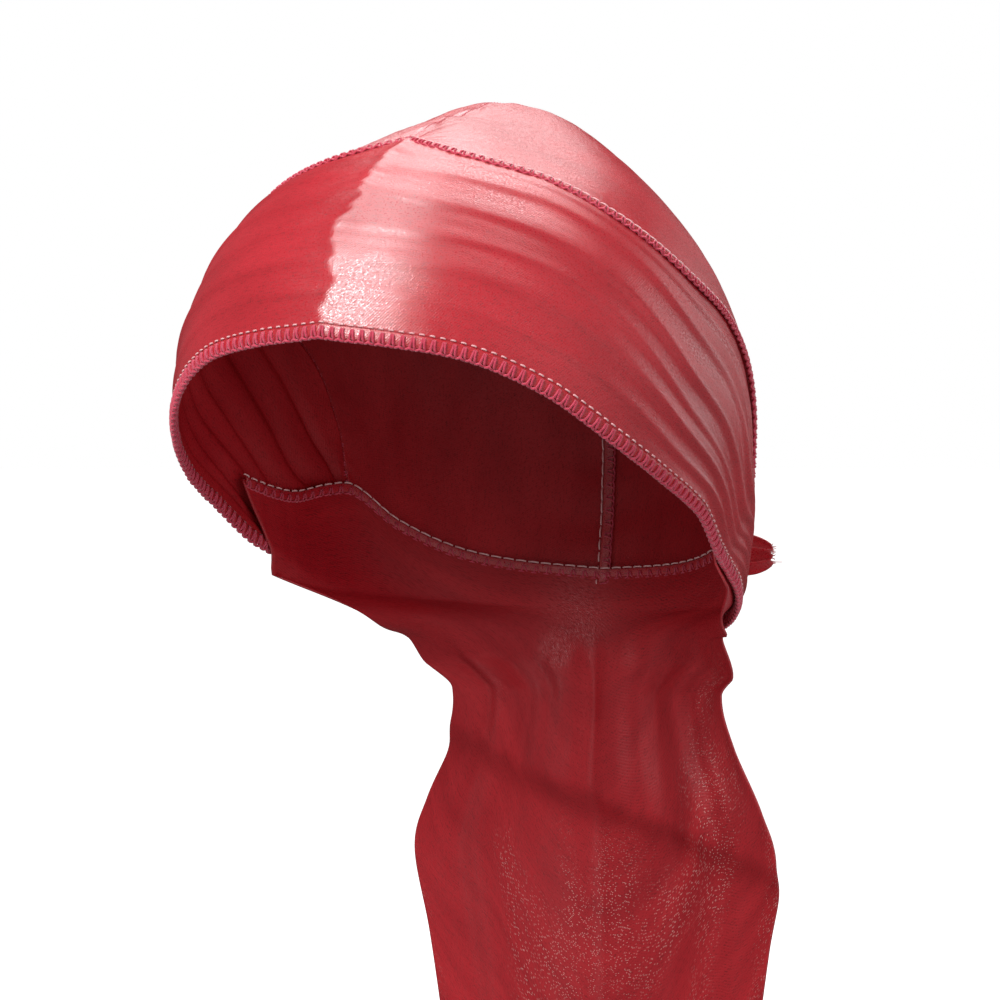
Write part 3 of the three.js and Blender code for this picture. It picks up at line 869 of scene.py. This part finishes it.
def inside_band(points):
    """The flap's points, held inside the band as far down as its rim and let go below it."""
    direction, turn, drop, out = on_the_form(points)
    places = np.linspace(0, 1, 200)
    rim_turn, rim_drop = band_value(LOW_TURN, places), band_value(LOW_DROP, places)
    rim_out = on_the_form(band_point(places, 0 * places))[3]
    below = drop - np.interp(turn, rim_turn, rim_drop) - RIM_CLEAR
    excess = out - np.interp(turn, rim_turn, rim_out) + FLAP_ROOM
    soft = np.where(excess > 6, excess, np.log1p(np.exp(np.minimum(2 * excess, 12))) / 2)
    held = soft * (1 - smoothstep(below, 0, RELEASE))
    return points - direction * held[..., None]


def make_flap():
    across = np.linspace(-1, 1, 180)[:, None]
    row = np.linspace(0, 1, 160)[None, :]
    across, row = np.broadcast_arrays(across, row)
    first = FLAP[0, 0]
    arc = flap_arc(across, np.maximum(row, first))
    share = np.clip(row / first, 0, 1)[..., None]
    points = flap_top(across) * (1 - share) + arc * share
    points = inside_band(points)
    made = cloth("back_flap_cloth", points, np.array([0.0, 1.0, 0.0]), back=TAIL)
    return place(made, "satin_back", "back_flap")


# The knot and the tie ends.
def spline(points, count):
    """A smooth path through a few points."""
    points = np.asarray(points, float)
    table = np.column_stack([np.linspace(0, 1, len(points)), points])
    t = np.linspace(0, 1, count)
    return np.stack([curve(table, k, t) for k in (1, 2, 3)], -1)


def knot_centre():
    low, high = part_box("tie_knot")
    return np.array([(a + b) / 2 / MM for a, b in zip(low, high)])


# One tie's way through the knot from its strap to its free end, from the knot's centre: under the
# other tie's loop, over its legs, round behind them and back the same way. The last two columns are
# the bundle's half height and half depth. The other tie takes the same way from the other side.
STRAND = np.array([
    (18.0, -6.5, -0.5, 4.8, 1.8),
    (12.5, -3.6, -3.4, 3.9, 2.8),
    (7.0, -1.2, -4.2, 3.6, 3.2),
    (1.0, 2.8, -6.0, 3.7, 3.3),
    (-5.0, 3.0, -8.0, 3.7, 3.2),
    (-10.0, 0.4, -7.6, 3.6, 3.1),
    (-12.2, -2.8, -4.3, 3.5, 3.1),
    (-12.8, -3.8, 0.0, 3.5, 3.1),
    (-12.2, -2.8, 4.3, 3.5, 3.1),
    (-10.0, 0.4, 7.6, 3.6, 3.1),
    (-5.0, 3.0, 8.0, 3.7, 3.2),
    (1.0, 2.8, 6.0, 3.7, 3.3),
    (7.0, -1.2, 4.2, 3.6, 3.2),
    (12.5, -3.4, 4.8, 3.7, 2.8),
    (18.0, -1.8, 8.2, 4.2, 2.2),
    (21.0, -0.6, 8.9, 4.4, 1.8),
])
STRAND_PLEATS = 9


def strand(name, side, phase):
    """One tie's bundle of gathered cloth through the knot."""
    steps, sides = 150, 72
    way = np.column_stack([np.linspace(0, 1, len(STRAND)), STRAND])
    along = np.linspace(0, 1, steps)
    path = np.stack([curve(way, k, along) for k in (1, 2, 3)], -1) * side + knot_centre()
    half_height, half_depth = curve(way, 4, along), curve(way, 5, along)
    run = unit(np.gradient(path, axis=0))
    wide = unit(np.cross(run, np.broadcast_to(np.array([0.0, 1.0, 0.0]), run.shape)))
    deep = np.cross(wide, run)
    angle = 2 * np.pi * np.arange(sides) / sides
    drift = 1.3 * noise(along[:, None] * 4, angle[None, :] + phase, 1)
    folds = np.abs(np.cos(STRAND_PLEATS / 2 * angle[None, :] + phase + 1.5 * along[:, None] + 0.3 * drift))
    ribs = 0.88 + 0.2 * folds + 0.06 * noise(along[:, None] * 14, 3 * np.cos(angle)[None, :] + phase, 2)
    ring = (
        path[:, None]
        + wide[:, None] * (half_height[:, None] * np.cos(angle)[None, :] * ribs)[..., None]
        + deep[:, None] * (half_depth[:, None] * np.sin(angle)[None, :] * ribs)[..., None]
    )
    index = np.arange(steps * sides).reshape(steps, sides)
    turned = np.roll(index, -1, axis=1)
    faces = np.stack([index[:-1], turned[:-1], turned[1:], index[1:]], -1).reshape(-1, 4)
    uv = np.stack(np.broadcast_arrays(along[:, None] * 80, angle * 4.0), -1).reshape(-1, 2)
    made = mesh_object(name, ring.reshape(-1, 3), faces, uv, (FACE,), np.zeros(len(faces)))
    close_ends(made.data, 1, steps, sides)
    return made


def make_knot():
    pieces = [strand("strand_a", 1, 0.0), strand("strand_b", -1, 1.9)]
    return place(joined("knot", pieces), "satin", "tie_knot")


# A tie end's half width along it.
END_SHAPE = np.array([
    (0, 3.6),
    (0.4, 5.2),
    (0.7, 6.2),
    (0.85, 5.8),
    (0.95, 4.5),
    (1, 3.2),
])


def make_tie_end(name, side, node_name):
    """A free end: pleated cloth that opens towards its raw, fraying edge."""
    low, high = (np.array(corner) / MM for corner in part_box(node_name))
    centre = knot_centre()
    length = high[0] - low[0] + 3
    start = centre[0] + side * (KNOT_WIDTH / 2 - 4)
    t = np.linspace(0, 1, 60)[:, None]
    w = np.linspace(-1, 1, 40)[None, :]
    t, w = np.broadcast_arrays(t, w)
    rise, droop = (9.0, 0.0) if side > 0 else (-8.0, 28.0)
    half = curve(END_SHAPE, 1, t)
    pleat = (1.7 - 0.5 * t) * np.cos(2.4 * np.pi * w + 0.7) + 0.35 * streaks(t * 5, w * 3, 1)
    ragged = 0.5 * noise(w * 9, 2.5, 3) * t**4
    points = np.stack(
        [
            start + side * (length * t + ragged),
            centre[1] + 0.6 * pleat + 1.2 * np.sin(5 * t),
            centre[2] + rise - droop * t**2 + half * (w + 0.1 * np.sin(2.4 * np.pi * w)),
        ],
        -1,
    )
    made = cloth(name, points, np.array([0.0, 1.0, 0.0]), 0.5, back=FACE)
    return place(made, "satin", node_name), points[-1]


def make_frays(name, edge, side):
    """Loose thread ends along a raw edge."""
    rng = np.random.default_rng(11)
    count, steps = 22, 6
    base = edge[rng.integers(2, len(edge) - 2, count)]
    reach = rng.uniform(0.5, 1.4, count)
    reach[0] = 3.5
    lean = rng.normal(0, 0.45, (count, 3))
    lean[:, 0] = side * (1 + 0.2 * lean[:, 0])
    t = np.linspace(0, 1, steps)[None, :, None]
    curl = rng.normal(0, 0.5, (count, 1, 3)) * t**2
    paths = base[:, None] + (lean[:, None] * t + curl * 0.5) * reach[:, None, None]
    out = np.broadcast_to(np.array([0.0, 0.3, 1.0]), paths.shape)
    # The loose ends use the needle thread, whose pale colour is painted highlight.
    return place(tubes(name, paths, out, 0.13, NEEDLE, sides=5), "serging")


make_band()
make_crown("crown_left", 1)
make_crown("crown_right", -1)
make_rim()
make_seam()
make_centre_stitches()
make_flap()
make_inner_seams()
make_knot()
_, left_edge = make_tie_end("free_end_left", 1, "tie_end_left")
_, right_edge = make_tie_end("free_end_right", -1, "tie_end_right")
make_frays("frays_left", left_edge, 1)
make_frays("frays_right", right_edge, -1)


# The stage, lights and camera.
FLOOR_RADIUS, FLOOR_HEIGHT = 12.0, -0.45


def make_stage():
    bpy.ops.mesh.primitive_circle_add(
        vertices=96, radius=FLOOR_RADIUS, fill_type="NGON", location=(0, 0, FLOOR_HEIGHT)
    )
    floor = bpy.context.object
    floor.name = "floor"
    material, tree, shader = nodes_of("pale_floor")
    shader.inputs["Base Color"].default_value = (0.9, 0.9, 0.9, 1)
    shader.inputs["Roughness"].default_value = 0.9
    shader.inputs["Emission Color"].default_value = (1, 1, 1, 1)
    shader.inputs["Emission Strength"].default_value = 0.9
    floor.data.materials.append(material)
    floor.visible_diffuse = False
    floor.visible_glossy = False
    floor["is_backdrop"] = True


def softbox(name, azimuth, elevation, distance, width, height, watts, target, gloss=True):
    a, e = math.radians(azimuth), math.radians(elevation)
    back = Vector((math.sin(a) * math.cos(e), -math.cos(a) * math.cos(e), math.sin(e)))
    data = bpy.data.lights.new(name, "AREA")
    data.shape = "RECTANGLE"
    data.size, data.size_y, data.energy = width, height, watts
    lamp = bpy.data.objects.new(name, data)
    lamp.location = Vector(target) + back * distance
    lamp.visible_glossy = gloss
    lamp.rotation_mode = "QUATERNION"
    lamp.rotation_quaternion = back.to_track_quat("Z", "Y")
    bpy.context.scene.collection.objects.link(lamp)


# How bright the room that lights the object is, and how bright it is in the cloth's gloss, against
# the white backdrop that is seen.
ROOM = 0.32
ROOM_IN_GLOSS = 0.12


def make_world():
    """A white backdrop, in a dimmer room that lights the object softly from all round."""
    world = bpy.data.worlds.new("world")
    world.use_nodes = True
    tree = world.node_tree
    ray = node(tree, "ShaderNodeLightPath")
    room = node(tree, "ShaderNodeMapRange", To_Min=ROOM, To_Max=ROOM_IN_GLOSS)
    tree.links.new(ray.outputs["Is Glossy Ray"], room.inputs["Value"])
    strength = node(tree, "ShaderNodeMapRange", To_Max=1.0)
    tree.links.new(ray.outputs["Is Camera Ray"], strength.inputs["Value"])
    tree.links.new(room.outputs["Result"], strength.inputs["To Min"])
    tree.links.new(strength.outputs["Result"], tree.nodes["Background"].inputs["Strength"])
    tree.nodes["Background"].inputs["Color"].default_value = (1, 1, 1, 1)
    bpy.context.scene.world = world


def make_light():
    make_world()
    target = (0, 0, -0.08)
    softbox("key", -14, 40, 1.5, 0.45, 1.2, 22, target)
    softbox("side_light", 150, 10, 1.6, 0.9, 1.2, 3.5, target)
    softbox("side_fill", 66, -4, 1.8, 1.4, 1.4, 13, target, gloss=False)
    softbox("hair_light", 194, 60, 1.4, 1.0, 0.8, 15, target)


AZIMUTH, ELEVATION = 27.0, 2.0
DISTANCE, LENS = 1500.0, 180.0
TARGET_RIGHT, TARGET_HEIGHT = 12.0, -113.8


def make_camera():
    a, e = math.radians(AZIMUTH), math.radians(ELEVATION)
    back = Vector((math.sin(a) * math.cos(e), -math.cos(a) * math.cos(e), math.sin(e)))
    target = Vector((TARGET_RIGHT * math.cos(a), TARGET_RIGHT * math.sin(a), TARGET_HEIGHT))
    data = bpy.data.cameras.new("camera")
    data.lens, data.sensor_width = LENS, 36
    data.clip_start, data.clip_end = 0.05, 60
    camera = bpy.data.objects.new("camera", data)
    camera.location = (target + back * DISTANCE) * MM
    camera.rotation_mode = "QUATERNION"
    camera.rotation_quaternion = (-back).to_track_quat("-Z", "Y")
    bpy.context.scene.collection.objects.link(camera)
    bpy.context.scene.camera = camera


make_stage()
make_light()
make_camera()
bpy.context.scene.view_settings.view_transform = "Standard"

{"cad": CAD_BOX, "visual": [list(corner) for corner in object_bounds()]}
